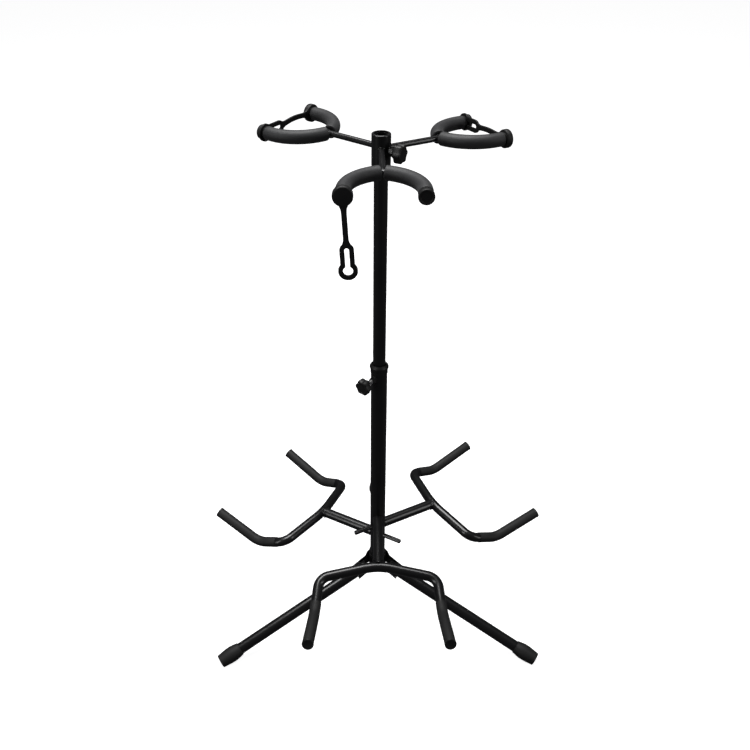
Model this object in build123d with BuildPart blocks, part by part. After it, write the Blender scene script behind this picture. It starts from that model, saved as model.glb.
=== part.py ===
from build123d import *
from math import cos, radians, sin
import os

# Floor stand for three guitars, in millimetres. +Z is up and the origin is on the floor,
# under the middle of the mast. Azimuth 0 is the front (-Y) and +90 is the right (+X).
# A telescoping mast stands on three folding legs. Three plug-in yokes hold the bodies
# low down, and a hub that turns on the mast head carries three padded neck forks.

# Mast
lower_tube_dia = 25.0
lower_tube_wall = 1.5
lower_tube_foot = 81.0
lower_tube_head = 499.5
upper_tube_dia = 19.0
upper_tube_wall = 1.3
upper_tube_foot = 394.0
upper_tube_head = 854.0
collar_bead_dia = 28.6
collar_bead_z = 503.2
collar_bead_height = 6.4
collar_top = 508.0
running_gap = 0.05
press = 0.05

# Clamp knobs: an M6 screw in a welded nut, with a six-lobed knob
screw_dia = 6.0
screw_clear = 0.3
nut_flats = 10.0
nut_height = 5.0
knob_core_dia = 21.0
knob_lobe_dia = 6.4
knob_lobe_ring = 9.4
knob_thickness = 11.0
knob_neck_dia = 12.0
knob_neck = 3.0
height_knob_azimuth = -40.0
height_knob_z = 484.0
height_knob_middle = 36.0
hub_knob_azimuth = 60.0
hub_knob_z = 833.5
hub_knob_middle = 27.2

# Legs, each hinged on a rivet in a channel bracket welded to the mast
leg_azimuths = {"left": -61.0, "right": 61.3, "rear": 180.0}
leg_dia = 19.0
leg_wall = 1.2
leg_slope = 17.2
pivot_reach = 27.0
pivot_z = 92.6
rivet_dia = 6.0
rivet_head_dia = 10.5
rivet_head = 2.2
rivet_clear = 0.08
leg_tube_end = 277.0
boot_start = 249.0
boot_end = 287.0
boot_start_dia = 21.4
boot_bulge_dia = 26.0
boot_bulge_at = 267.0
boot_end_dia = 22.0
channel_inside = 19.6
sheet = 2.0
cheek_end = 18.5
cheek_low = 8.0
cheek_high = 3.5
bridge_start = 6.0
bracket_foot = 86.5
bracket_step_reach = 30.0
bracket_inner = 7.2
ear_outline = [(17.8, 104.5), (14.2, 112.2), (9.5, 116.0)]

# Yokes, each plugged through the mast by a thin rod
yoke_azimuths = {"front": -0.3, "left": -121.4, "right": 119.9}
yoke_heights = {"front": 203.9, "left": 160.4, "right": 180.0}
yoke_droops = {"front": 3.2, "left": 2.2, "right": 1.9}
yoke_rolls = {"front": 0.0, "left": 2.6, "right": 2.0}
yoke_tip_lifts = {"front": 0.0, "left": 4.4, "right": -4.3}
stem_dia = 17.0
stem_wall = 1.5
stem_gap = 0.3
rod_dia = 7.6
rod_clear = 0.08
rod_far_end = 44.5
rod_root_end = 34.0
bar_dia = 15.9
bar_wall = 1.2
bar_middle = (111.5, 0.0, 0.0)
bar_corner = (129.6, 93.2, -8.7)
bar_dip = (182.0, 98.5, -26.6)
bar_tip_reach = 260.3
bar_tip_half = 103.1
bar_tip_rise = 4.4
bar_radii = {"middle": 110.0, "corner": 21.0, "dip": 36.0}
sleeve_dia = 17.2
sleeve_starts = {"front": 0.7, "left": 0.3, "right": 0.3}
plug_dia = 17.8
plug_flange = 2.6
plug_depth = 12.0

# Hub and neck forks
hub_dia = 25.4
hub_foot = 812.0
hub_head = 856.0
fork_azimuths = {"front": 0.4, "left": -128.4, "right": 118.0}
arm_dia = 8.0
fork_heights = {"front": 837.0, "left": 838.2, "right": 836.0}
fork_rolls = {"front": 0.0, "left": -2.4, "right": -2.3}
fork_middle = 88.0
fork_corner = 104.0
fork_half = 47.2
fork_corner_radius = 60.0
fork_middle_radius = 8.0
foam_dia = 18.5
foam_start = 3.6
foam_end = 155.2
cap_start = 155.5
cap_bore_depth = 7.0
neck_dia = 13.0
neck_start = 157.0
neck_end = 160.8
button_dia = 19.5
button_end = 166.6
strap_cap_dia = 24.5
strap_cap_end = 165.0
strap_start = 157.7
strap_thickness = 2.6
strap_width = 5.9
strap_hang = 94.3
ring_length = 47.0
ring_dia = 23.4
ring_neck_dia = 17.8
ring_slot = 5.4
slot_inset = 2.2
ring_hole = 12.0
hooked_hole = 13.2
front_strap_lean = 3.1


def spoke(azimuth, height=0.0, rise=0.0, reach=0.0, roll=0.0):
    """Plane whose x axis leaves the mast at an azimuth, tilted up by rise degrees.

    A roll turns it about that axis, and lifts its y side.
    """
    a = radians(azimuth)
    r = radians(rise)
    out = Vector(sin(a), -cos(a), 0)
    across = Vector(cos(a), sin(a), 0)
    x_dir = out * cos(r) + Vector(0, 0, sin(r))
    up = Vector(0, 0, cos(r)) - out * sin(r)
    z_dir = up * cos(radians(roll)) - across * sin(radians(roll))
    return Plane(origin=out * reach + Vector(0, 0, height), x_dir=x_dir, z_dir=z_dir)


def side_of(plane):
    """Upright plane through a spoke: x along the spoke, y up."""
    return Plane(origin=plane.origin, x_dir=plane.x_dir, z_dir=-plane.y_dir)


def end_of(plane, along=0.0):
    """Plane square to a spoke, at a distance along it, looking outwards."""
    return Plane(origin=plane.origin + plane.x_dir * along, x_dir=plane.y_dir, z_dir=plane.x_dir)


def save(piece, name):
    piece.part.label = name
    export_step(piece.part, f"parts/{name}.step")


def bent_tube(plane, points, radii, dia, bore=0.0):
    """Round bar or tube along straight runs joined by tangent arcs."""
    with BuildPart() as tube:
        with BuildLine(plane) as route:
            FilletPolyline(*points, radius=radii)
        with BuildSketch(Plane(origin=route.line @ 0, z_dir=route.line % 0)):
            Circle(dia / 2)
            if bore:
                Circle(bore / 2, mode=Mode.SUBTRACT)
        sweep(path=route.line)
    return tube


def straight_tube(plane, start, end, dia, bore=0.0):
    """Round bar or tube along a spoke."""
    with BuildPart() as tube:
        with BuildSketch(end_of(plane, start)):
            Circle(dia / 2)
            if bore:
                Circle(bore / 2, mode=Mode.SUBTRACT)
        extrude(amount=end - start)
    return tube


def along(a, b, share):
    """Point a share of the way from a to b."""
    return tuple(p + (q - p) * share for p, q in zip(a, b))


def mirrored(point):
    return (point[0], -point[1], point[2])


os.makedirs("parts", exist_ok=True)

# Lower tube, drilled for the height screw and for the three yoke rods

with BuildPart() as lower_tube:
    with BuildSketch(Plane.XY.offset(lower_tube_foot)):
        Circle(lower_tube_dia / 2)
        Circle(lower_tube_dia / 2 - lower_tube_wall, mode=Mode.SUBTRACT)
    extrude(amount=lower_tube_head - lower_tube_foot)
    with BuildSketch(end_of(spoke(height_knob_azimuth, height_knob_z))):
        Circle(screw_dia / 2 + screw_clear)
    extrude(amount=lower_tube_dia, mode=Mode.SUBTRACT)
    for side, azimuth in yoke_azimuths.items():
        with BuildSketch(end_of(spoke(azimuth, yoke_heights[side], -yoke_droops[side]))):
            Circle(rod_dia / 2 + rod_clear)
        extrude(amount=lower_tube_dia, both=True, mode=Mode.SUBTRACT)
save(lower_tube, "lower_tube")

# Plastic collar pressed into the top of the lower tube; the upper tube runs in it

tube_bore = lower_tube_dia / 2 - lower_tube_wall
collar_bore = upper_tube_dia / 2 + running_gap
collar_skirt = collar_bead_dia / 2 - 1.2
bead_low = collar_bead_z - collar_bead_height / 2
bead_high = collar_bead_z + collar_bead_height / 2

with BuildPart() as tube_collar:
    with BuildSketch(Plane.XZ) as profile:
        with BuildLine():
            Polyline(
                (collar_bore, lower_tube_head - 10.5),
                (tube_bore + press, lower_tube_head - 10.5),
                (tube_bore + press, lower_tube_head),
                (lower_tube_dia / 2, lower_tube_head),
                (lower_tube_dia / 2, lower_tube_head - 6.5),
                (collar_skirt, lower_tube_head - 6.5),
                (collar_skirt, bead_low),
            )
            ThreePointArc(
                (collar_skirt, bead_low),
                (collar_bead_dia / 2, collar_bead_z),
                (collar_skirt - 0.4, bead_high),
            )
            Polyline(
                (collar_skirt - 0.4, bead_high),
                (collar_bore + 1.6, collar_top),
                (collar_bore, collar_top - 2.2),
                (collar_bore, lower_tube_head - 10.5),
            )
        make_face()
    revolve(axis=Axis.Z)
save(tube_collar, "tube_collar")

# Plastic plug in the foot of the lower tube

with BuildPart() as base_plug:
    with BuildSketch(Plane.XY.offset(lower_tube_foot - 2.5)):
        Circle(lower_tube_dia / 2 - 0.3)
    extrude(amount=2.5)
    fillet(base_plug.faces().sort_by(Axis.Z)[0].edges(), radius=1.2)
    with BuildSketch(Plane.XY.offset(lower_tube_foot)):
        Circle(tube_bore + press)
        Circle(tube_bore - 2.0, mode=Mode.SUBTRACT)
    extrude(amount=12.0)
save(base_plug, "base_plug")

# Upper tube and the plastic bush on its foot, which slides inside the lower tube

with BuildPart() as upper_tube:
    with BuildSketch(Plane.XY.offset(upper_tube_foot)):
        Circle(upper_tube_dia / 2)
        Circle(upper_tube_dia / 2 - upper_tube_wall, mode=Mode.SUBTRACT)
    extrude(amount=upper_tube_head - upper_tube_foot)
save(upper_tube, "upper_tube")

with BuildPart() as slide_bush:
    with BuildSketch(Plane.XY.offset(upper_tube_foot - 2.0)):
        Circle(tube_bore - running_gap)
        Circle(upper_tube_dia / 2 - upper_tube_wall - 1.0, mode=Mode.SUBTRACT)
    extrude(amount=20.0)
    with BuildSketch(Plane.XY.offset(upper_tube_foot)):
        Circle(upper_tube_dia / 2 - press)
    extrude(amount=20.0, mode=Mode.SUBTRACT)
save(slide_bush, "slide_bush")

# Clamp knob sets: nut on the tube, screw through it, knob on the screw


def clamp_set(azimuth, height, tube_dia, middle):
    base = spoke(azimuth, height)
    with BuildPart() as nut:
        with BuildSketch(end_of(base, tube_dia / 4)):
            RegularPolygon(nut_flats / 2, 6, major_radius=False)
        extrude(amount=tube_dia / 4 + nut_height)
        with BuildSketch(end_of(base)):
            Circle(screw_dia / 2 + running_gap)
        extrude(amount=tube_dia, mode=Mode.SUBTRACT)
        with BuildSketch(Plane.XY.offset(height - nut_flats)):
            Circle(tube_dia / 2)
        extrude(amount=2 * nut_flats, mode=Mode.SUBTRACT)
    tip = upper_tube_dia / 2 + screw_clear
    knob_back = middle - knob_thickness / 2
    with BuildPart() as screw:
        with BuildSketch(end_of(base, tip)):
            Circle(screw_dia / 2)
        extrude(amount=knob_back + knob_thickness / 2 - tip)
        chamfer(screw.faces().sort_by(Axis(base.origin, base.x_dir))[0].edges(), length=0.8)
    with BuildPart() as knob:
        with BuildSketch(end_of(base, knob_back)):
            Circle(knob_core_dia / 2)
            with PolarLocations(knob_lobe_ring, 6):
                Circle(knob_lobe_dia / 2)
        extrude(amount=knob_thickness)
        outer_face = knob.faces().sort_by(Axis(base.origin, base.x_dir))[-1]
        fillet(outer_face.edges(), radius=1.2)
        with BuildSketch(end_of(base, knob_back - knob_neck)):
            Circle(knob_neck_dia / 2)
        extrude(amount=knob_neck)
        with BuildSketch(end_of(base, knob_back - knob_neck)):
            Circle(screw_dia / 2 - press)
        extrude(amount=knob_neck + knob_thickness / 2, mode=Mode.SUBTRACT)
    return nut, screw, knob


height_nut, height_screw, height_knob = clamp_set(
    height_knob_azimuth, height_knob_z, lower_tube_dia, height_knob_middle
)
save(height_nut, "height_nut")
save(height_screw, "height_screw")
save(height_knob, "height_knob")

hub_nut, hub_screw, hub_knob = clamp_set(hub_knob_azimuth, hub_knob_z, hub_dia, hub_knob_middle)
save(hub_nut, "hub_nut")
save(hub_screw, "hub_screw")
save(hub_knob, "hub_knob")

# Leg brackets: two cheeks whose ears rise beside the mast, joined by a saddle that wraps
# it and by a round bridge over the leg, which stops the open leg

channel_half = channel_inside / 2 + sheet
ear_top = ear_outline[-1][1]


def beside_leg(distance, height):
    """Reach and height of a point along the leg from its pivot and square to its middle."""
    slope = radians(leg_slope)
    reach = pivot_reach + distance * cos(slope) + height * sin(slope)
    return reach, pivot_z - distance * sin(slope) + height * cos(slope)


for side, azimuth in leg_azimuths.items():
    upright = side_of(spoke(azimuth))
    with BuildPart() as bracket:
        with BuildSketch(upright):
            Polygon(
                (bracket_inner, bracket_foot),
                (bracket_step_reach, bracket_foot),
                beside_leg(cheek_end, -cheek_low),
                beside_leg(cheek_end, cheek_high),
                *ear_outline,
                (bracket_inner, ear_top),
                align=None,
            )
        extrude(amount=channel_half, both=True)
        with BuildSketch(upright):
            with Locations((pivot_reach, pivot_z)):
                Rectangle(3 * pivot_reach, 3 * pivot_reach)
        extrude(amount=channel_inside / 2, both=True, mode=Mode.SUBTRACT)
        with BuildSketch(end_of(spoke(azimuth, pivot_z, -leg_slope, pivot_reach), bridge_start)):
            Circle(channel_half)
            Circle(channel_inside / 2, mode=Mode.SUBTRACT)
            Rectangle(3 * channel_half, channel_half, align=(Align.CENTER, Align.MAX), mode=Mode.SUBTRACT)
        extrude(amount=cheek_end - bridge_start)
        with BuildSketch(spoke(azimuth, bracket_foot)):
            Circle(lower_tube_dia / 2 + sheet)
            with Locations((bracket_inner / 2, 0)):
                Rectangle(
                    bracket_inner, 2 * lower_tube_dia, align=(Align.MAX, Align.CENTER), mode=Mode.SUBTRACT
                )
            with Locations((bracket_inner, 0)):
                Rectangle(lower_tube_dia, channel_inside + sheet, align=(Align.MIN, Align.CENTER),
                          mode=Mode.INTERSECT)
        extrude(amount=ear_top - bracket_foot)
        with BuildSketch(Plane.XY.offset(bracket_foot)):
            Circle(lower_tube_dia / 2)
        extrude(amount=ear_top - bracket_foot, mode=Mode.SUBTRACT)
        with BuildSketch(side_of(spoke(azimuth, pivot_z, reach=pivot_reach))):
            Circle(rivet_dia / 2)
        extrude(amount=2 * channel_half, both=True, mode=Mode.SUBTRACT)
    save(bracket, f"leg_bracket_{side}")

# Rivets: one domed-head rivet through each bracket and leg

with BuildPart() as leg_rivets:
    for azimuth in leg_azimuths.values():
        pivot = side_of(spoke(azimuth, pivot_z, reach=pivot_reach))
        with BuildSketch(pivot):
            Circle(rivet_dia / 2)
        extrude(amount=channel_half, both=True)
        for outward in (1, -1):
            cheek_face = pivot.offset(outward * channel_half)
            with BuildSketch(cheek_face):
                Circle(rivet_head_dia / 2)
            extrude(amount=outward * rivet_head, taper=28)
save(leg_rivets, "leg_rivets")

# Legs: a tube with a rounded hinge end, and a rubber boot ground flat where it stands

for side, azimuth in leg_azimuths.items():
    leg_line = spoke(azimuth, pivot_z, -leg_slope, pivot_reach)
    whole_tube = straight_tube(leg_line, -leg_dia / 2, leg_tube_end, leg_dia, leg_dia - 2 * leg_wall)
    with BuildPart() as leg:
        add(whole_tube.part)
        with BuildSketch(side_of(leg_line)):
            with Locations((0, 0)):
                Rectangle(leg_dia, 2 * leg_dia, align=(Align.MAX, Align.CENTER))
            Circle(leg_dia / 2, mode=Mode.SUBTRACT)
        extrude(amount=leg_dia, both=True, mode=Mode.SUBTRACT)
        with BuildSketch(side_of(leg_line)):
            Circle(rivet_dia / 2 + rivet_clear)
        extrude(amount=leg_dia, both=True, mode=Mode.SUBTRACT)
    save(leg, f"leg_{side}")

    with BuildPart() as boot:
        with BuildSketch(side_of(leg_line)):
            with BuildLine():
                Polyline(
                    (boot_end, boot_end_dia / 2 - 1.5),
                    (boot_end, 0),
                    (leg_tube_end, 0),
                    (leg_tube_end, leg_dia / 2 - press),
                    (boot_start, leg_dia / 2 - press),
                    (boot_start, boot_start_dia / 2),
                    (boot_start + 4, boot_start_dia / 2),
                )
                Spline(
                    (boot_start + 4, boot_start_dia / 2),
                    (boot_bulge_at, boot_bulge_dia / 2),
                    (boot_end - 1.5, boot_end_dia / 2),
                )
                Line((boot_end - 1.5, boot_end_dia / 2), (boot_end, boot_end_dia / 2 - 1.5))
            make_face()
        revolve(axis=Axis(leg_line.origin, leg_line.x_dir))
        split(bisect_by=Plane.XY, keep=Keep.TOP)
    save(boot, f"foot_{side}")

# Yokes: a stem welded to the middle of a bent bar whose arms dip and then rise

for side, azimuth in yoke_azimuths.items():
    frame_plane = spoke(azimuth, yoke_heights[side], -yoke_droops[side], roll=yoke_rolls[side])
    bar_tip = (bar_tip_reach, bar_tip_half, bar_tip_rise + yoke_tip_lifts[side])
    route = [
        mirrored(bar_tip),
        mirrored(bar_dip),
        mirrored(bar_corner),
        bar_middle,
        bar_corner,
        bar_dip,
        bar_tip,
    ]
    radii = [bar_radii[bend] for bend in ("dip", "corner", "middle", "corner", "dip")]
    solid_bar = bent_tube(frame_plane, route, radii, bar_dia)
    bar = bent_tube(frame_plane, route, radii, bar_dia, bar_dia - 2 * bar_wall)
    save(bar, f"yoke_bar_{side}")

    stem_tube = straight_tube(
        frame_plane, lower_tube_dia / 4, bar_middle[0], stem_dia, stem_dia - 2 * stem_wall
    )
    with BuildPart() as stem:
        add(stem_tube.part)
        add(solid_bar.part, mode=Mode.SUBTRACT)
        with BuildSketch(Plane.XY.offset(yoke_heights[side] - 2 * stem_dia)):
            Circle(lower_tube_dia / 2 + stem_gap)
        extrude(amount=4 * stem_dia, mode=Mode.SUBTRACT)
    stem.part = stem.part.solids().sort_by(SortBy.VOLUME)[-1]
    save(stem, f"yoke_stem_{side}")

    with BuildPart() as rod:
        with BuildSketch(end_of(frame_plane, -rod_far_end)):
            Circle(rod_dia / 2)
        extrude(amount=rod_far_end + rod_root_end)
        chamfer(rod.faces().sort_by(Axis(frame_plane.origin, frame_plane.x_dir))[0].edges(), length=0.8)
        with BuildSketch(end_of(frame_plane, rod_root_end - 19.0)):
            Circle(stem_dia / 2 - stem_wall + press)
        extrude(amount=19.0)
    save(rod, f"yoke_rod_{side}")

    with BuildPart() as sleeves:
        for flip in (False, True):
            points = [along(bar_corner, bar_dip, sleeve_starts[side]), bar_dip, bar_tip]
            if flip:
                points = [mirrored(p) for p in points]
            with BuildLine(frame_plane) as sleeve_route:
                FilletPolyline(*points, radius=bar_radii["dip"])
            with BuildSketch(Plane(origin=sleeve_route.line @ 0, z_dir=sleeve_route.line % 0)):
                Circle(sleeve_dia / 2)
                Circle(bar_dia / 2 - press, mode=Mode.SUBTRACT)
            sweep(path=sleeve_route.line)
    save(sleeves, f"yoke_sleeves_{side}")

    with BuildPart() as plugs:
        for point, before in ((bar_tip, bar_dip), (mirrored(bar_tip), mirrored(bar_dip))):
            tip = frame_plane.from_local_coords(Vector(*point))
            outward = tip - frame_plane.from_local_coords(Vector(*before))
            end = Plane(origin=tip, z_dir=outward)
            with BuildSketch(end):
                Circle(plug_dia / 2)
            extrude(amount=plug_flange)
            with BuildSketch(end):
                Circle(bar_dia / 2 - bar_wall + press)
            extrude(amount=-plug_depth)
    save(plugs, f"yoke_plugs_{side}")

# Hub: a sleeve that turns on the head of the upper tube

with BuildPart() as hub:
    with BuildSketch(Plane.XY.offset(hub_foot)):
        Circle(hub_dia / 2)
    extrude(amount=hub_head - hub_foot)
    fillet(hub.faces().sort_by(Axis.Z)[0].edges(), radius=2.5)
    fillet(hub.faces().sort_by(Axis.Z)[-1].edges(), radius=1.5)
    with BuildSketch(Plane.XY.offset(hub_foot)):
        Circle(upper_tube_dia / 2 + running_gap)
    extrude(amount=hub_head - hub_foot, mode=Mode.SUBTRACT)
    with BuildSketch(end_of(spoke(hub_knob_azimuth, hub_knob_z))):
        Circle(screw_dia / 2 + screw_clear)
    extrude(amount=hub_dia, mode=Mode.SUBTRACT)
save(hub, "hub")

# Neck forks: an arm from the hub, a bent rod, two foam tubes, a button cap on one tip
# and on the other a rubber cap moulded in one piece with its safety strap


def fork_points(sign):
    tip = (cap_start + cap_bore_depth, sign * fork_half, 0)
    return [(fork_middle, 0, 0), (fork_corner, sign * fork_half, 0), tip]


def cap_at(plane, sign):
    """Plane square to a fork tip, with its origin on the tip's axis."""
    origin = plane.from_local_coords(Vector(0, sign * fork_half, 0))
    return Plane(origin=origin, x_dir=plane.x_dir, z_dir=plane.z_dir)


def revolved_cap(tip_plane, outline):
    with BuildPart() as cap:
        with BuildSketch(side_of(tip_plane)):
            Polygon(*outline, align=None)
        revolve(axis=Axis(tip_plane.origin, tip_plane.x_dir))
    return cap


def strap_sketch(total, hole_dia):
    """Strap outline: x runs away from the middle of the cap."""
    ring_from = total - ring_length
    far_middle = total - ring_dia / 2
    near_middle = ring_from + ring_neck_dia / 2
    root = strap_cap_dia / 2 - 2.5
    with BuildSketch() as outline:
        Circle(strap_cap_dia / 2 - 0.6)
        with Locations((root, 0)):
            Rectangle(ring_from - root + 2, strap_width, align=(Align.MIN, Align.CENTER))
        fillet(outline.vertices().group_by(Axis.X)[-2], radius=6.0)
        with BuildSketch(mode=Mode.PRIVATE) as ring:
            with Locations((far_middle, 0)):
                Circle(ring_dia / 2)
            with Locations((near_middle, 0)):
                Circle(ring_neck_dia / 2)
            make_hull()
        add(ring.sketch)
        with Locations((far_middle, 0)):
            Circle(hole_dia / 2, mode=Mode.SUBTRACT)
        slot_length = far_middle - near_middle - slot_inset
        with Locations((far_middle - slot_length / 2, 0)):
            SlotCenterToCenter(slot_length, ring_slot, mode=Mode.SUBTRACT)
    return outline


def strap_piece(tip_plane, direction, total, hole_dia, bore):
    """Cap and strap in one moulding; the strap leaves the cap along direction."""
    disc = revolved_cap(
        tip_plane,
        [
            (cap_start, bore / 2),
            (cap_start, neck_dia / 2 + 2),
            (neck_start, neck_dia / 2 + 2),
            (neck_start, strap_cap_dia / 2 - 0.6),
            (neck_start + 0.6, strap_cap_dia / 2),
            (strap_cap_end - 1.8, strap_cap_dia / 2),
            (strap_cap_end, strap_cap_dia / 2 - 1.8),
            (strap_cap_end, 0),
            (cap_start + cap_bore_depth + 0.3, 0),
            (cap_start + cap_bore_depth + 0.3, bore / 2),
        ],
    )
    flat = Plane(
        origin=tip_plane.origin + tip_plane.x_dir * strap_start,
        x_dir=direction,
        z_dir=tip_plane.x_dir,
    )
    outline = strap_sketch(total, hole_dia)
    with BuildPart() as moulding:
        with BuildSketch(flat):
            add(outline.sketch)
            Circle(strap_cap_dia / 4, mode=Mode.SUBTRACT)
        extrude(amount=strap_thickness)
        add(disc.part)
    return moulding


for side, azimuth in fork_azimuths.items():
    level = spoke(azimuth, fork_heights[side], roll=fork_rolls[side])
    left = fork_points(-1)
    right = fork_points(1)
    fork = bent_tube(
        level,
        [left[2], left[1], left[0], right[1], right[2]],
        [fork_corner_radius, fork_middle_radius, fork_corner_radius],
        arm_dia,
    )
    save(fork, f"neck_fork_{side}")

    arm_rod = straight_tube(level, hub_dia / 4, fork_middle, arm_dia)
    with BuildPart() as arm:
        add(arm_rod.part)
        add(fork.part, mode=Mode.SUBTRACT)
        with BuildSketch(Plane.XY.offset(hub_foot)):
            Circle(hub_dia / 2)
        extrude(amount=hub_head - hub_foot, mode=Mode.SUBTRACT)
    arm.part = arm.part.solids().sort_by(SortBy.VOLUME)[-1]
    save(arm, f"hanger_arm_{side}")

    for hand, points in (("left", left), ("right", right)):
        run = Vector(*points[1]) - Vector(*points[0])
        foam_from = along(points[0], points[1], foam_start / run.length)
        foam_to = (foam_end, points[2][1], 0)
        foam = bent_tube(
            level,
            [foam_from, points[1], foam_to],
            fork_corner_radius,
            foam_dia,
            arm_dia - 2 * press,
        )
        save(foam, f"neck_foam_{side}_{hand}")

    button = revolved_cap(
        cap_at(level, 1),
        [
            (cap_start, arm_dia / 2 - press),
            (cap_start, neck_dia / 2 + 2),
            (neck_start, neck_dia / 2 + 2),
            (neck_start, neck_dia / 2),
            (neck_end, neck_dia / 2),
            (neck_end, button_dia / 2 - 0.8),
            (neck_end + 0.8, button_dia / 2),
            (button_end - 1.2, button_dia / 2),
            (button_end, button_dia / 2 - 1.2),
            (button_end, button_dia / 2 - 2.6),
            (button_end - 0.8, button_dia / 2 - 3.4),
            (button_end - 0.8, 0),
            (cap_start + cap_bore_depth, 0),
            (cap_start + cap_bore_depth, arm_dia / 2 - press),
        ],
    )
    save(button, f"button_cap_{side}")

    # The front strap hangs open and swings on the fork tip; the others are hooked
    strap_cap = cap_at(level, -1)
    if side == "front":
        lean = radians(front_strap_lean)
        direction = level.y_dir * sin(lean) - level.z_dir * cos(lean)
        total = strap_cap_dia / 2 + strap_hang
        strap = strap_piece(strap_cap, direction, total, ring_hole, arm_dia + 2 * running_gap)
    else:
        total = 2 * fork_half + ring_dia / 2
        strap = strap_piece(strap_cap, level.y_dir, total, hooked_hole, arm_dia - 2 * press)
    save(strap, f"strap_{side}")
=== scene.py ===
import bpy
from math import atan2, cos, degrees, hypot, pi, radians, sin, sqrt, tan
from mathutils import Matrix, Vector


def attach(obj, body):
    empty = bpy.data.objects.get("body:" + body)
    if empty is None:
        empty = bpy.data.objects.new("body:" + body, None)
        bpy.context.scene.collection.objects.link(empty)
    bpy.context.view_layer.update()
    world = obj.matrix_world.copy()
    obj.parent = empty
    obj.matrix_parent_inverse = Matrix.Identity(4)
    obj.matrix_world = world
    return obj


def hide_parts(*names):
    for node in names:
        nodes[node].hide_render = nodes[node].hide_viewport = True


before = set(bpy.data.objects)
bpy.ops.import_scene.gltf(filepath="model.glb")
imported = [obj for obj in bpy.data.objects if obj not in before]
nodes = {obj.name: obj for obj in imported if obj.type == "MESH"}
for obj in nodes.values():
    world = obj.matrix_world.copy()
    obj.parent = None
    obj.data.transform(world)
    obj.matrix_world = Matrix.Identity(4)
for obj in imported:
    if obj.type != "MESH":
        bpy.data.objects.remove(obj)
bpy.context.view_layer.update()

# Camera. It stands a little left of the middle, over a metre away and above the head of
# the rack, and looks down at the collar.

camera_place = (-0.0209, -1.0690, 1.2038)
camera_yaw = radians(0.79)
camera_pitch = radians(33.84)
camera_roll = radians(0.35)
turn = Matrix.Rotation(-camera_yaw, 3, "Z") @ Matrix.Rotation(pi / 2 - camera_pitch, 3, "X")
turn = turn @ Matrix.Rotation(camera_roll, 3, "Z")
bpy.ops.object.camera_add(location=camera_place, rotation=turn.to_euler())
camera = bpy.context.object
camera.data.sensor_width = 36
camera.data.lens = 41.0
camera.data.clip_end = 100
bpy.context.scene.camera = camera

# Studio: a pale floor, a pale dome behind it, and soft light from big panels. The floor
# and dome are seen by the camera alone, so that black gloss mirrors only the panels.


class Wire:
    """A shader socket that takes part in arithmetic."""

    def __init__(self, finish, socket):
        self.finish = finish
        self.socket = socket

    def math(self, operation, first, second):
        return self.finish.node("ShaderNodeMath", {"operation": operation}, {0: first, 1: second})

    def __add__(self, other):
        return self.math("ADD", self, other)

    def __mul__(self, other):
        return self.math("MULTIPLY", self, other)

    __radd__ = __add__
    __rmul__ = __mul__


class Finish:
    """One material. Constants are set on the shader's own sockets."""

    def __init__(self, name, **constants):
        self.material = bpy.data.materials.new(name)
        self.material.use_nodes = True
        self.tree = self.material.node_tree
        self.shader = self.tree.nodes["Principled BSDF"]
        for socket, value in constants.items():
            self.shader.inputs[socket.replace("_", " ")].default_value = value
        self.place = self.node("ShaderNodeTexCoord", output="Object")

    def node(self, kind, settings=None, sockets=None, output=0):
        made = self.tree.nodes.new(kind)
        for setting, value in (settings or {}).items():
            setattr(made, setting, value)
        for socket, value in (sockets or {}).items():
            self.link(value, made.inputs[socket])
        return Wire(self, made.outputs[output])

    def link(self, value, socket):
        if isinstance(value, Wire):
            self.tree.links.new(value.socket, socket)
        else:
            socket.default_value = value

    def noise(self, scale, detail=2.0, roughness=0.5):
        sockets = {"Vector": self.place, "Scale": scale, "Detail": detail, "Roughness": roughness}
        return self.node("ShaderNodeTexNoise", {}, sockets)

    def cells(self, scale):
        return self.node("ShaderNodeTexVoronoi", {}, {"Vector": self.place, "Scale": scale})

    def mix(self, factor, first, second):
        """Colour between two: the colour sockets of a Mix node are its 7th and 8th."""
        sockets = {0: factor, 6: (*first, 1), 7: (*second, 1)}
        return self.node("ShaderNodeMix", {"data_type": "RGBA"}, sockets, output=2)

    def relief(self, height, strength, depth):
        sockets = {"Height": height, "Strength": strength, "Distance": depth}
        bump = self.node("ShaderNodeBump", {}, sockets)
        self.link(bump, self.shader.inputs["Normal"])

    def feed(self, **wires):
        for socket, value in wires.items():
            self.link(value, self.shader.inputs[socket.replace("_", " ")])

    def coat(self, *names):
        """Puts this finish on CAD nodes, whose shape is right as it is."""
        for name in names:
            for slot in nodes[name].material_slots:
                slot.material = self.material


white = (1, 1, 1, 1)
floor_size = 60
floor_drop = 0.0004
dome_radius = 29

floor_paint = Finish(
    "studio_floor", Roughness=1.0, Emission_Color=white, Emission_Strength=0.92
)
floor_mottle = floor_paint.noise(3.0)
floor_paint.feed(
    Base_Color=floor_paint.mix(floor_mottle, (0.74, 0.74, 0.74), (0.78, 0.78, 0.78))
)
bpy.ops.mesh.primitive_plane_add(size=floor_size, location=(0, 0, -floor_drop))
floor = bpy.context.object
floor.name = "studio_floor"
floor.data.materials.append(floor_paint.material)

dome_paint = Finish("studio_dome", Roughness=1.0, Emission_Color=white, Emission_Strength=0.93)
bpy.ops.mesh.primitive_uv_sphere_add(radius=dome_radius)
dome = bpy.context.object
dome.name = "studio_dome"
dome.data.materials.append(dome_paint.material)
for backdrop in (floor, dome):
    backdrop.visible_glossy = False
    backdrop.visible_diffuse = False
dome.visible_shadow = False

world = bpy.data.worlds.new("studio")
world.use_nodes = True
world.node_tree.nodes["Background"].inputs["Color"].default_value = (0.05, 0.05, 0.053, 1)
bpy.context.scene.world = world
bpy.context.scene.view_settings.view_transform = "Standard"


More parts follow.
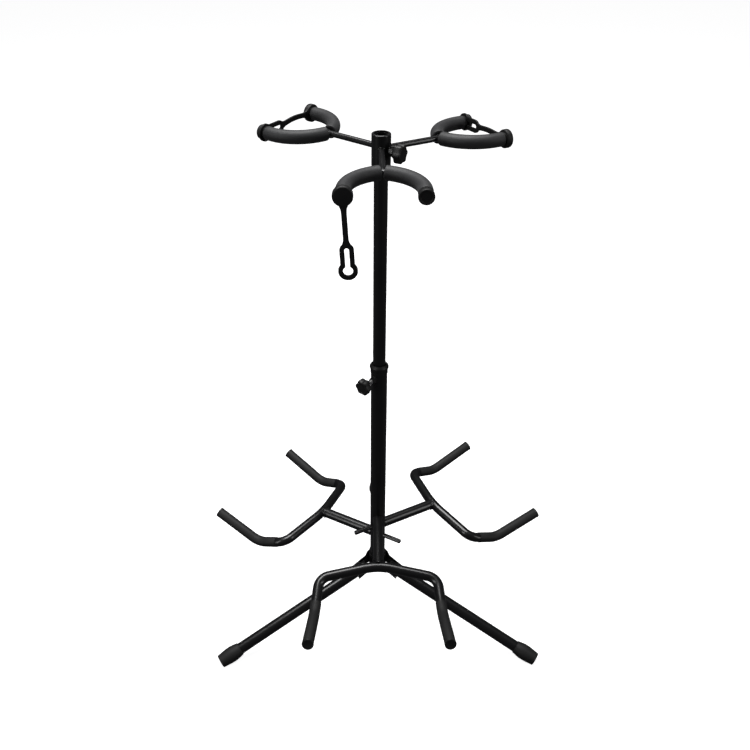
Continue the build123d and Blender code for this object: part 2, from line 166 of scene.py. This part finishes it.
def light_panel(name, place, width, height, power):
    """A soft light that faces the middle of the rack."""
    tilt = (Vector((0.0, 0.0, 0.5)) - Vector(place)).to_track_quat("-Z", "Y").to_euler()
    bpy.ops.object.light_add(type="AREA", location=place, rotation=tilt)
    panel = bpy.context.object
    panel.name = name
    panel.data.shape = "RECTANGLE"
    panel.data.size = width
    panel.data.size_y = height
    panel.data.energy = power


light_panel("top_panel", (-0.3, 0.5, 2.7), width=1.6, height=1.2, power=62)
light_panel("left_panel", (-2.2, -1.5, 1.5), width=0.45, height=2.2, power=18)
light_panel("right_panel", (2.4, -1.2, 1.5), width=0.45, height=2.2, power=13)

# Mast: two telescoping tubes of welded mild steel under satin black powder coat, with the
# faint orange peel and pooling of a baked powder.

powder_coat = Finish("black_powder_coat", Coat_Roughness=0.16, Specular_IOR_Level=0.42)
pooling = powder_coat.noise(26.0, 3.0)
peel = powder_coat.noise(850.0, 1.5)
powder_coat.feed(
    Base_Color=powder_coat.mix(pooling, (0.0035, 0.0035, 0.0038), (0.0085, 0.0085, 0.009)),
    Roughness=0.23 + pooling * 0.12 + peel * 0.05,
    Coat_Weight=0.30 + pooling * 0.20,
)
powder_coat.relief(peel, 0.10, 0.0003)
powder_coat.coat("lower_tube", "upper_tube")

# Collar, foot plug and bush: injection-moulded black nylon, pressed into and onto the tube
# ends. The skin has a fine spark-eroded grain.

moulded_nylon = Finish("black_moulded_nylon", Specular_IOR_Level=0.45)
flow = moulded_nylon.noise(60.0, 2.0)
spark_grain = moulded_nylon.noise(1500.0, 2.0)
moulded_nylon.feed(
    Base_Color=moulded_nylon.mix(flow, (0.005, 0.005, 0.005), (0.011, 0.011, 0.0112)),
    Roughness=0.36 + flow * 0.10 + spark_grain * 0.06,
)
moulded_nylon.relief(spark_grain, 0.12, 0.0002)
moulded_nylon.coat("tube_collar", "base_plug", "slide_bush")

# Clamp knobs: six-lobed, moulded in black nylon with a shallow recessed face and a round
# neck. One clamps the mast height and the other the head.

mm = 0.001
pole = 0.01
knob_outline = [
    (0.0, pole), (0.0, 11.5), (0.5, 12.3), (1.3, 12.6), (9.0, 12.6), (10.1, 12.2), (10.8, 11.4),
    (11.0, 10.5), (11.0, 9.9), (10.5, 9.3), (10.2, 8.0), (10.5, 5.0), (10.7, 2.5), (10.75, pole),
]
neck_outline = [(-3.0, 3.0), (-3.0, 5.4), (-2.5, 6.0), (0.3, 6.0), (0.3, 3.0), (-3.0, 3.0)]
lobe_dips = {5: 0.989, 10: 0.956, 15: 0.911, 20: 0.868, 25: 0.842, 30: 0.833}
clamps = {
    "height": {"azimuth": -40.0, "height": 484.0},
    "hub": {"azimuth": 60.0, "height": 833.5},
}
knob_backs = {"height": 30.5, "hub": 21.7}
clamp_bodies = {"height": "height_clamp", "hub": "head_clamp"}


def choose(*pieces):
    """Selects these pieces and nothing else. The first is the active one."""
    bpy.ops.object.select_all(action="DESELECT")
    for piece in pieces:
        piece.select_set(True)
    bpy.context.view_layer.objects.active = pieces[0]


def settle(piece):
    """Writes an object's place into its mesh, so that the object sits at the origin."""
    choose(piece)
    bpy.ops.object.transform_apply(location=True, rotation=True, scale=True)


def weld_shut(piece, gap=0.01):
    """Merges vertices less than a gap apart, and turns every face outwards."""
    bpy.context.view_layer.objects.active = piece
    bpy.ops.object.mode_set(mode="EDIT")
    bpy.ops.mesh.select_all(action="SELECT")
    bpy.ops.mesh.remove_doubles(threshold=gap * mm)
    bpy.ops.mesh.normals_make_consistent(inside=False)
    bpy.ops.object.mode_set(mode="OBJECT")


def pick(piece, test):
    """Selects the vertices that pass a test, and leaves the piece in edit mode."""
    bpy.context.view_layer.objects.active = piece
    bpy.ops.object.mode_set(mode="EDIT")
    bpy.ops.mesh.select_mode(type="VERT")
    bpy.ops.mesh.select_all(action="DESELECT")
    bpy.ops.object.mode_set(mode="OBJECT")
    for vertex in piece.data.vertices:
        vertex.select = test(vertex.co)
    bpy.ops.object.mode_set(mode="EDIT")


def turned(name, outline, sides=48, dips=None):
    """Turns an outline of (along, radius) points about X, ring by ring.

    A ring as small as a pole closes to one point. Dips give the share of the radius that is
    left at each angle from the nearest of six lobes.
    """
    along, radius = outline[0]
    bpy.ops.mesh.primitive_circle_add(
        vertices=sides, radius=radius * mm, location=(along * mm, 0, 0), rotation=(0, pi / 2, 0)
    )
    piece = bpy.context.object
    piece.name = name
    piece.data.name = name
    settle(piece)
    for angle, ratio in (dips or {}).items():
        sides_of_lobes = (angle, 60 - angle)
        pick(piece, lambda p: round(degrees(atan2(p.z, p.y))) % 60 in sides_of_lobes)
        bpy.ops.transform.resize(value=(1, ratio, ratio), center_override=(0, 0, 0))
        bpy.ops.object.mode_set(mode="OBJECT")
    bpy.ops.object.mode_set(mode="EDIT")
    bpy.ops.mesh.select_all(action="SELECT")
    for next_along, next_radius in outline[1:]:
        step = ((next_along - along) * mm, 0, 0)
        bpy.ops.mesh.extrude_region_move(TRANSFORM_OT_translate={"value": step})
        ratio = next_radius / radius
        bpy.ops.transform.resize(value=(1, ratio, ratio), center_override=(next_along * mm, 0, 0))
        along, radius = next_along, next_radius
    bpy.ops.object.mode_set(mode="OBJECT")
    weld_shut(piece, 3 * pole)
    return piece


def join(*pieces):
    """Makes one object of several, which keeps the first one's name."""
    choose(*pieces)
    bpy.ops.object.join()
    return pieces[0]


def put(piece, azimuth, height, droop=0.0, roll=0.0):
    """Places a piece modelled along X on a spoke from the mast, as the CAD does."""
    piece.rotation_euler = (radians(roll), radians(droop), radians(azimuth - 90))
    piece.location = (0, 0, height * mm)
    settle(piece)


def hand_over(piece, body, finish, slot, *replaced):
    """Shades and paints a finished piece, and names its body and the nodes it replaces. The slot is
    not used.
    """
    choose(piece)
    bpy.ops.object.shade_smooth_by_angle(angle=radians(40))
    piece.data.materials.clear()
    piece.data.materials.append(finish.material)
    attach(piece, body)
    if replaced:
        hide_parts(*replaced)


for clamp, pose in clamps.items():
    grip = turned(f"{clamp}_grip", knob_outline, sides=72, dips=lobe_dips)
    knob = join(grip, turned(f"{clamp}_grip_neck", neck_outline))
    knob.location = (knob_backs[clamp] * mm, 0, 0)
    settle(knob)
    put(knob, **pose)
    hand_over(knob, clamp_bodies[clamp], moulded_nylon, "black_plastic", f"{clamp}_knob")

# Clamp screws: M6 steel, bright zinc plated with a slight warm passivation, rolled thread.
# The end of each presses on the tube inside.

thread_radius = 3.0
thread_root = 2.5
thread_pitch = 1.0
thread_runout = 0.6
screw_tip = 9.8
screw_in_knob = 5.5

bright_zinc = Finish("bright_zinc", Metallic=1.0)
spangle = bright_zinc.noise(900.0, 2.0)
bright_zinc.feed(
    Base_Color=bright_zinc.mix(spangle, (0.62, 0.63, 0.65), (0.80, 0.79, 0.76)),
    Roughness=0.20 + spangle * 0.16,
)

for clamp, pose in clamps.items():
    screw_end = knob_backs[clamp] + screw_in_knob
    thread = [(screw_tip, pole), (screw_tip, thread_root - 0.4)]
    valley = screw_tip + thread_runout
    while valley < screw_end - thread_runout:
        thread += [(valley, thread_root), (valley + thread_pitch / 2, thread_radius)]
        valley += thread_pitch
    thread += [(screw_end, thread_root), (screw_end, pole)]
    screw = turned(f"{clamp}_thread", thread, sides=24)
    put(screw, **pose)
    hand_over(screw, clamp_bodies[clamp], bright_zinc, "zinc_steel", f"{clamp}_screw")

# Clamp nuts: black hexagon nuts of mild steel, shaped to the tube. Each is held to it by a
# rippled ring of weld, under the same powder coat.

nut_ring = 5.6
nut_bead = 0.9
nut_bodies = {"height": "base", "hub": "head"}
clamped_tube_radius = {"height": 12.5, "hub": 12.7}

powder_coat.coat("height_nut", "hub_nut")


def weld_bead(name, ring, bead, drum, middle, drum_is_upright, outward):
    """A rippled torus about X, laid on a round drum square to X.

    Ring, bead and drum are radii. The drum stands upright or lies across, and outward is the
    side of it that the bead is on.
    """
    ring_sides = 48
    side_angle = 360 / ring_sides
    ripple_depth = 0.18
    bpy.ops.mesh.primitive_torus_add(
        major_segments=ring_sides, minor_segments=10, rotation=(0, pi / 2, 0),
        major_radius=ring * mm, minor_radius=bead * mm,
    )
    weld = bpy.context.object
    weld.name = name
    weld.data.name = name
    settle(weld)
    for step in range(0, 360, round(2 * side_angle)):
        pick(weld, lambda p: round(degrees(atan2(p.z, p.y)) - step) % 360 == 0)
        bpy.ops.transform.shrink_fatten(value=-ripple_depth * bead * mm)
        bpy.ops.object.mode_set(mode="OBJECT")
    for side_number in range(ring_sides // 4 + 1):
        angle = side_angle * side_number
        spread = sin(radians(90 - angle if drum_is_upright else angle)) * ring
        lift = outward * sqrt(max(drum ** 2 - spread ** 2, 0))
        pick(weld, lambda p: abs(degrees(atan2(abs(p.z), abs(p.y))) - angle) < side_angle / 4)
        bpy.ops.transform.translate(value=((middle + lift) * mm, 0, 0))
        bpy.ops.object.mode_set(mode="OBJECT")
    return weld


for clamp, pose in clamps.items():
    weld = weld_bead(
        f"{clamp}_nut_weld", nut_ring, nut_bead, clamped_tube_radius[clamp], middle=0,
        drum_is_upright=True, outward=1,
    )
    put(weld, **pose)
    hand_over(weld, nut_bodies[clamp], powder_coat, "black_steel")

# Leg brackets and rivets: pressed steel cheeks welded to the mast, and a domed rivet
# through each that the leg hinges on.

leg_azimuths = {"left": -61.0, "right": 61.3, "rear": 180.0}
pivot_reach = 27.0
pivot_height = 92.6
bracket_rounding = 0.5
rivet_outline = [
    (-14.0, pole), (-13.95, 1.6), (-13.6, 3.0), (-13.0, 4.2), (-12.3, 5.0), (-11.7, 5.25),
    (-11.7, 3.0), (11.7, 3.0), (11.7, 5.25), (12.3, 5.0), (13.0, 4.2), (13.6, 3.0),
    (13.95, 1.6), (14.0, pole),
]


def copy_of(piece, name):
    """A copy with its own mesh."""
    choose(piece)
    bpy.ops.object.duplicate()
    copied = bpy.context.object
    copied.name = name
    copied.data.name = name
    return copied


def finish_with(piece, kind, **settings):
    """Adds a modifier to a piece and applies it."""
    bpy.context.view_layer.objects.active = piece
    modifier = piece.modifiers.new(kind.lower(), kind)
    for setting, value in settings.items():
        setattr(modifier, setting, value)
    bpy.ops.object.modifier_apply(modifier=modifier.name)


def round_edges(piece, width, segments, sharper_than):
    """Bevels the edges that turn by more than an angle."""
    finish_with(
        piece, "BEVEL", width=width * mm, segments=segments, limit_method="ANGLE",
        angle_limit=radians(sharper_than),
    )


def rounded_copy(node, name, width):
    """A copy of a CAD node whose sharp edges are rounded over."""
    copied = copy_of(nodes[node], name)
    copied.parent = None
    settle(copied)
    weld_shut(copied)
    round_edges(copied, width, segments=2, sharper_than=50)
    return copied


rivets = []
for side, azimuth in leg_azimuths.items():
    bracket = rounded_copy(f"leg_bracket_{side}", f"bracket_{side}", bracket_rounding)
    hand_over(bracket, "base", powder_coat, "black_steel", f"leg_bracket_{side}")
    rivet = turned(f"rivet_{side}", rivet_outline, sides=32)
    rivet.rotation_euler = (0, 0, pi / 2)
    rivet.location = (pivot_reach * mm, 0, 0)
    settle(rivet)
    put(rivet, azimuth, height=pivot_height)
    rivets.append(rivet)
hand_over(join(*rivets), "base", powder_coat, "black_steel", "leg_rivets")

# Legs: straight steel tube under the same powder coat, each hinged on its rivet between
# the cheeks of its bracket.

for side in leg_azimuths:
    powder_coat.coat(f"leg_{side}")

# Boots: black rubber, pushed over the leg ends. Each swells, then narrows to a flat end
# with a crisp rim, and is ground flat where it stands.

leg_slope = 17.2
boot_outline = [
    (277.0, pole), (277.0, 9.45), (249.0, 9.45), (249.0, 10.2), (249.4, 10.7), (251.0, 11.0),
    (254.0, 11.6), (257.5, 12.3), (262.0, 12.9), (267.0, 13.0), (272.0, 12.7), (276.5, 12.2),
    (281.0, 11.6), (285.0, 11.2), (286.3, 11.0), (286.8, 10.6), (287.0, 10.1), (287.0, pole),
]

boot_rubber = Finish("boot_rubber", Specular_IOR_Level=0.40)
scuffs = boot_rubber.noise(38.0, 3.0)
grip_grain = boot_rubber.noise(900.0, 2.0)
boot_rubber.feed(
    Base_Color=boot_rubber.mix(scuffs, (0.007, 0.007, 0.007), (0.016, 0.016, 0.0163)),
    Roughness=0.52 + scuffs * 0.14 + grip_grain * 0.06,
)
boot_rubber.relief(grip_grain, 0.20, 0.0003)

for side, azimuth in leg_azimuths.items():
    boot = turned(f"boot_{side}", boot_outline)
    boot.rotation_euler = (0, radians(leg_slope), 0)
    boot.location = (pivot_reach * mm, 0, pivot_height * mm)
    settle(boot)
    put(boot, azimuth, height=0)
    bpy.ops.object.mode_set(mode="EDIT")
    bpy.ops.mesh.select_all(action="SELECT")
    bpy.ops.mesh.bisect(plane_co=(0, 0, 0), plane_no=(0, 0, 1), use_fill=True, clear_inner=True)
    bpy.ops.object.mode_set(mode="OBJECT")
    weld_shut(boot)
    hand_over(boot, f"{side}_leg", boot_rubber, "black_rubber", f"foot_{side}")

# Yokes: a stem and a bent bar of black tube, plugged through the mast by a thin rod. The
# bar is held on the stem by a saddle of rippled weld.

yokes = {
    "front": {"azimuth": -0.3, "height": 203.9, "droop": 3.2, "roll": 0.0},
    "left": {"azimuth": -121.4, "height": 160.4, "droop": 2.2, "roll": 2.6},
    "right": {"azimuth": 119.9, "height": 180.0, "droop": 1.9, "roll": 2.0},
}
bar_radius = 7.95
bar_middle = 110.9
stem_ring = 8.5
stem_bead = 1.5

for side, pose in yokes.items():
    powder_coat.coat(f"yoke_bar_{side}", f"yoke_stem_{side}", f"yoke_rod_{side}")
    weld = weld_bead(
        f"yoke_weld_{side}", stem_ring, stem_bead, bar_radius, middle=bar_middle,
        drum_is_upright=False, outward=-1,
    )
    put(weld, **pose)
    hand_over(weld, f"{side}_yoke", powder_coat, "black_steel")

# Yoke sleeves: rubber tube shrunk over the arms, matt and finely grained, so that it
# doesn't mark a guitar's lacquer.

sleeve_rounding = 0.35

sleeve_rubber = Finish("sleeve_rubber", Specular_IOR_Level=0.42)
bloom = sleeve_rubber.noise(45.0, 3.0)
pores = sleeve_rubber.noise(1100.0, 2.0)
sleeve_rubber.feed(
    Base_Color=sleeve_rubber.mix(bloom, (0.008, 0.008, 0.008), (0.017, 0.017, 0.0175)),
    Roughness=0.54 + bloom * 0.12 + pores * 0.08,
)
sleeve_rubber.relief(pores, 0.25, 0.0003)

for side in yokes:
    sleeves = rounded_copy(f"yoke_sleeves_{side}", f"sleeves_{side}", sleeve_rounding)
    hand_over(sleeves, f"{side}_yoke", sleeve_rubber, "black_rubber", f"yoke_sleeves_{side}")

# Yoke end plugs: moulded black nylon, pushed into the ends of the arms. Each shows a
# rounded flange with a shallow rim.

tip_lifts = {"front": 0.0, "left": 4.4, "right": -4.3}
arm_dip = (182.0, 98.5, -26.6)
arm_tip = (260.3, 103.1, 4.4)
plug_outline = [
    (-12.0, pole), (-12.0, 6.6), (0.0, 6.6), (0.0, 8.6), (0.3, 8.9), (1.6, 8.9), (2.2, 8.65),
    (2.5, 8.2), (2.6, 7.6), (2.6, 6.2), (2.45, 5.9), (2.45, pole),
]

for side, pose in yokes.items():
    pair = []
    for hand, sign in (("left", -1), ("right", 1)):
        tip = Vector((arm_tip[0], sign * arm_tip[1], arm_tip[2] + tip_lifts[side]))
        outward = tip - Vector((arm_dip[0], sign * arm_dip[1], arm_dip[2]))
        plug = turned(f"plug_{side}_{hand}", plug_outline)
        plug.rotation_euler = outward.to_track_quat("X", "Z").to_euler()
        plug.location = tip * mm
        settle(plug)
        pair.append(plug)
    plugs = join(*pair)
    put(plugs, **pose)
    hand_over(plugs, f"{side}_yoke", moulded_nylon, "black_plastic", f"yoke_plugs_{side}")

# Hub and arms: a short black steel sleeve that turns on the mast head, with three rods
# welded to it. Each rod ends in a weld at the middle of its fork.

forks = {
    "front": {"azimuth": 0.4, "height": 837.0, "roll": 0.0},
    "left": {"azimuth": -128.4, "height": 838.2, "roll": -2.4},
    "right": {"azimuth": 118.0, "height": 836.0, "roll": -2.3},
}
hub_radius = 12.7
rod_radius = 4.0
fork_middle = 88.0
root_ring = 4.2
root_bead = 1.1
fork_ring = 3.9
fork_bead = 0.8

powder_coat.coat("hub")
for side, pose in forks.items():
    powder_coat.coat(f"neck_fork_{side}", f"hanger_arm_{side}")
    root_weld = weld_bead(
        f"arm_weld_{side}", root_ring, root_bead, hub_radius, middle=0, drum_is_upright=True,
        outward=1,
    )
    fork_weld = weld_bead(
        f"fork_weld_{side}", fork_ring, fork_bead, rod_radius, middle=fork_middle,
        drum_is_upright=False, outward=-1,
    )
    welds = join(root_weld, fork_weld)
    put(welds, **pose)
    hand_over(welds, "head", powder_coat, "black_steel")

# Neck foam: two lengths of foam tube on each fork, slipped over the bent rod. Charcoal
# closed-cell foam with a fine cell grain, soft at the cut ends.

foam_radius = 9.25
foam_bore = 4.0
foam_bend = 60.0
fork_corner = (104.0, 47.2)
foam_near_end = 3.6
foam_far_end = 155.2
foam_rounding = 1.6
bend_steps = 26

foam_skin = Finish("charcoal_foam", Specular_IOR_Level=0.45, Sheen_Weight=0.06, Sheen_Roughness=0.6)
mottle = foam_skin.noise(70.0, 3.0)
foam_cells = foam_skin.cells(1150.0)
foam_skin.feed(
    Base_Color=foam_skin.mix(
        mottle * 0.6 + foam_cells * 0.5, (0.013, 0.013, 0.0138), (0.030, 0.030, 0.032)
    ),
    Roughness=0.47 + mottle * 0.16,
)
foam_skin.relief(foam_cells, 0.30, 0.0003)

run = (fork_corner[0] - fork_middle, fork_corner[1])
run_turn = atan2(run[1], run[0])
bend_reach = foam_bend * tan(run_turn / 2)
ahead = Vector((cos(run_turn), sin(run_turn), 0))
foam_start = Vector((fork_middle, 0, 0)) + ahead * foam_near_end
bend_start = Vector((fork_middle, 0, 0)) + ahead * (hypot(*run) - bend_reach)
bend_centre = bend_start + Vector((sin(run_turn), -cos(run_turn), 0)) * foam_bend
bend_end_reach = fork_corner[0] + bend_reach

bpy.ops.mesh.primitive_circle_add(
    vertices=48, radius=foam_radius * mm, location=foam_start * mm, rotation=(0, pi / 2, run_turn)
)
foam_tube = bpy.context.object
settle(foam_tube)
bpy.ops.object.mode_set(mode="EDIT")
bpy.ops.mesh.select_all(action="SELECT")
bpy.ops.mesh.extrude_region_move(TRANSFORM_OT_translate={"value": (bend_start - foam_start) * mm})
bpy.ops.mesh.spin(steps=bend_steps, angle=run_turn, center=bend_centre * mm, axis=(0, 0, 1))
last_run = ((foam_far_end - bend_end_reach) * mm, 0, 0)
bpy.ops.mesh.extrude_region_move(TRANSFORM_OT_translate={"value": last_run})
bpy.ops.object.mode_set(mode="OBJECT")
weld_shut(foam_tube)

for side, pose in forks.items():
    for hand, sign in (("left", -1), ("right", 1)):
        foam = copy_of(foam_tube, f"foam_{side}_{hand}")
        foam.scale = (1, sign, 1)
        settle(foam)
        weld_shut(foam)
        finish_with(foam, "SOLIDIFY", thickness=(foam_radius - foam_bore) * mm, offset=-1.0)
        round_edges(foam, foam_rounding, segments=4, sharper_than=50)
        put(foam, **pose)
        hand_over(foam, "head", foam_skin, "black_foam", f"neck_foam_{side}_{hand}")
bpy.data.objects.remove(foam_tube)

# Button caps: black rubber studs on the right tip of each fork, a neck and a disc with a
# faint rim. A strap's ring hooks over the neck.

button_outline = [
    (155.5, 3.95), (155.5, 8.2), (155.8, 8.5), (156.7, 8.5), (157.0, 8.2), (157.0, 6.7),
    (157.3, 6.5), (160.5, 6.5), (160.8, 6.8), (160.8, 8.95), (161.0, 9.4), (161.4, 9.7),
    (165.2, 9.75), (166.0, 9.5), (166.5, 9.0), (166.6, 8.5), (166.6, 7.3), (166.3, 6.9),
    (165.8, 6.4), (165.8, pole), (162.5, pole), (162.5, 3.95), (155.5, 3.95),
]

cap_rubber = Finish("cap_rubber", Specular_IOR_Level=0.38)
sheen = cap_rubber.noise(55.0, 2.0)
cap_grain = cap_rubber.noise(1300.0, 2.0)
cap_rubber.feed(
    Base_Color=cap_rubber.mix(sheen, (0.0045, 0.0045, 0.0045), (0.010, 0.010, 0.0102)),
    Roughness=0.46 + sheen * 0.12 + cap_grain * 0.06,
)
cap_rubber.relief(cap_grain, 0.15, 0.0002)

for side, pose in forks.items():
    button = turned(f"button_{side}", button_outline)
    button.location = (0, fork_corner[1] * mm, 0)
    settle(button)
    put(button, **pose)
    hand_over(button, "head", cap_rubber, "black_rubber", f"button_cap_{side}")

# Safety straps: a rubber cap on the left tip of each fork, moulded in one with a strap
# and a ring with a keyhole. The front one hangs open; the others are hooked across.

cap_outline = [
    (155.5, 4.05), (155.5, 8.2), (155.8, 8.5), (156.9, 8.5), (157.0, 8.7), (157.0, 11.4),
    (157.2, 12.0), (157.7, 12.25), (163.0, 12.25), (164.2, 11.9), (164.8, 11.3), (165.0, 10.4),
    (165.0, pole), (162.8, pole), (162.8, 4.05), (155.5, 4.05),
]
strap_middle = 159.0
strap_thickness = 2.6
strap_stations = [
    (9.0, 16.0), (11.0, 13.0), (13.0, 10.2), (15.5, 8.2), (18.5, 7.0), (22.0, 6.6), (27.0, 6.6),
    (32.0, 6.6), (37.0, 6.6), (42.0, 6.6), (47.0, 6.6), (52.0, 6.6), (56.0, 7.0), (59.0, 8.6),
    (61.5, 11.0), (64.0, 13.0),
]
ring_middle = {"front": 94.8, "left": 94.4, "right": 94.4}
ring_shoulder = 26.6
ring_diameter = 23.6
ring_width = 17.4
ring_hole = {"front": 12.2, "left": 13.2, "right": 13.2}
ring_slot = 5.6
strap_bow = {"front": 0.0, "left": 3.2, "right": 2.2}
strap_turn = {"front": -86.9, "left": 0.0, "right": 0.0}
strap_root = strap_stations[0][0]
strap_span = strap_stations[-1][0] - strap_root
strap_rounding = 0.6
slot_lead = 0.5
cutter_depth = 8.0


def strap_disc(diameter, along, thickness):
    """A short round bar through the strap's plane."""
    bpy.ops.mesh.primitive_cylinder_add(
        vertices=64, radius=diameter / 2 * mm, depth=thickness * mm,
        location=(strap_middle * mm, along * mm, 0), rotation=(0, pi / 2, 0),
    )
    disc = bpy.context.object
    settle(disc)
    return disc


def strap_block(width, near, far, thickness):
    """A straight block in the strap's plane, from near to far along it."""
    bpy.ops.mesh.primitive_cube_add(
        size=1, location=(strap_middle * mm, (near + far) / 2 * mm, 0),
        scale=(thickness * mm, (far - near) * mm, width * mm),
    )
    block = bpy.context.object
    settle(block)
    return block


def cut_or_add(piece, tool, operation):
    """Cuts a tool out of a piece or melts it in, and throws the tool away."""
    finish_with(piece, "BOOLEAN", object=tool, operation=operation, solver="EXACT")
    bpy.data.objects.remove(tool)


for side, pose in forks.items():
    near, width = strap_stations[0]
    bpy.ops.mesh.primitive_plane_add(
        size=1, location=(strap_middle * mm, near * mm, 0), rotation=(pi / 2, 0, 0)
    )
    strap = bpy.context.object
    strap.name = f"safety_strap_{side}"
    strap.scale = (strap_thickness * mm, width * mm, 1)
    settle(strap)
    bpy.ops.object.mode_set(mode="EDIT")
    bpy.ops.mesh.select_all(action="SELECT")
    lift = 0
    for next_near, next_width in strap_stations[1:]:
        next_lift = strap_bow[side] * sin(pi * (next_near - strap_root) / strap_span)
        step = (0, (next_near - near) * mm, (next_lift - lift) * mm)
        bpy.ops.mesh.extrude_region_move(TRANSFORM_OT_translate={"value": step})
        middle = (strap_middle * mm, next_near * mm, next_lift * mm)
        bpy.ops.transform.resize(value=(1, 1, next_width / width), center_override=middle)
        near, width, lift = next_near, next_width, next_lift
    bpy.ops.object.mode_set(mode="OBJECT")
    weld_shut(strap)
    far = ring_middle[side]
    shoulder = far - ring_shoulder
    cut_or_add(strap, strap_disc(ring_diameter, far, strap_thickness), "UNION")
    cut_or_add(strap, strap_disc(ring_width, shoulder, strap_thickness), "UNION")
    cut_or_add(strap, strap_block(ring_width, shoulder, far, strap_thickness), "UNION")
    slot_near = shoulder - slot_lead
    cut_or_add(strap, strap_disc(ring_hole[side], far, cutter_depth), "DIFFERENCE")
    cut_or_add(strap, strap_disc(ring_slot, slot_near, cutter_depth), "DIFFERENCE")
    cut_or_add(strap, strap_block(ring_slot, slot_near, far, cutter_depth), "DIFFERENCE")
    weld_shut(strap)
    round_edges(strap, strap_rounding, segments=3, sharper_than=40)
    strap.rotation_euler = (radians(strap_turn[side]), 0, 0)
    settle(strap)
    safety_strap = join(strap, turned(f"strap_cap_{side}", cap_outline))
    safety_strap.location = (0, -fork_corner[1] * mm, 0)
    settle(safety_strap)
    put(safety_strap, **pose)
    body = "safety_strap" if side == "front" else "head"
    hand_over(safety_strap, body, cap_rubber, "black_rubber", f"strap_{side}")
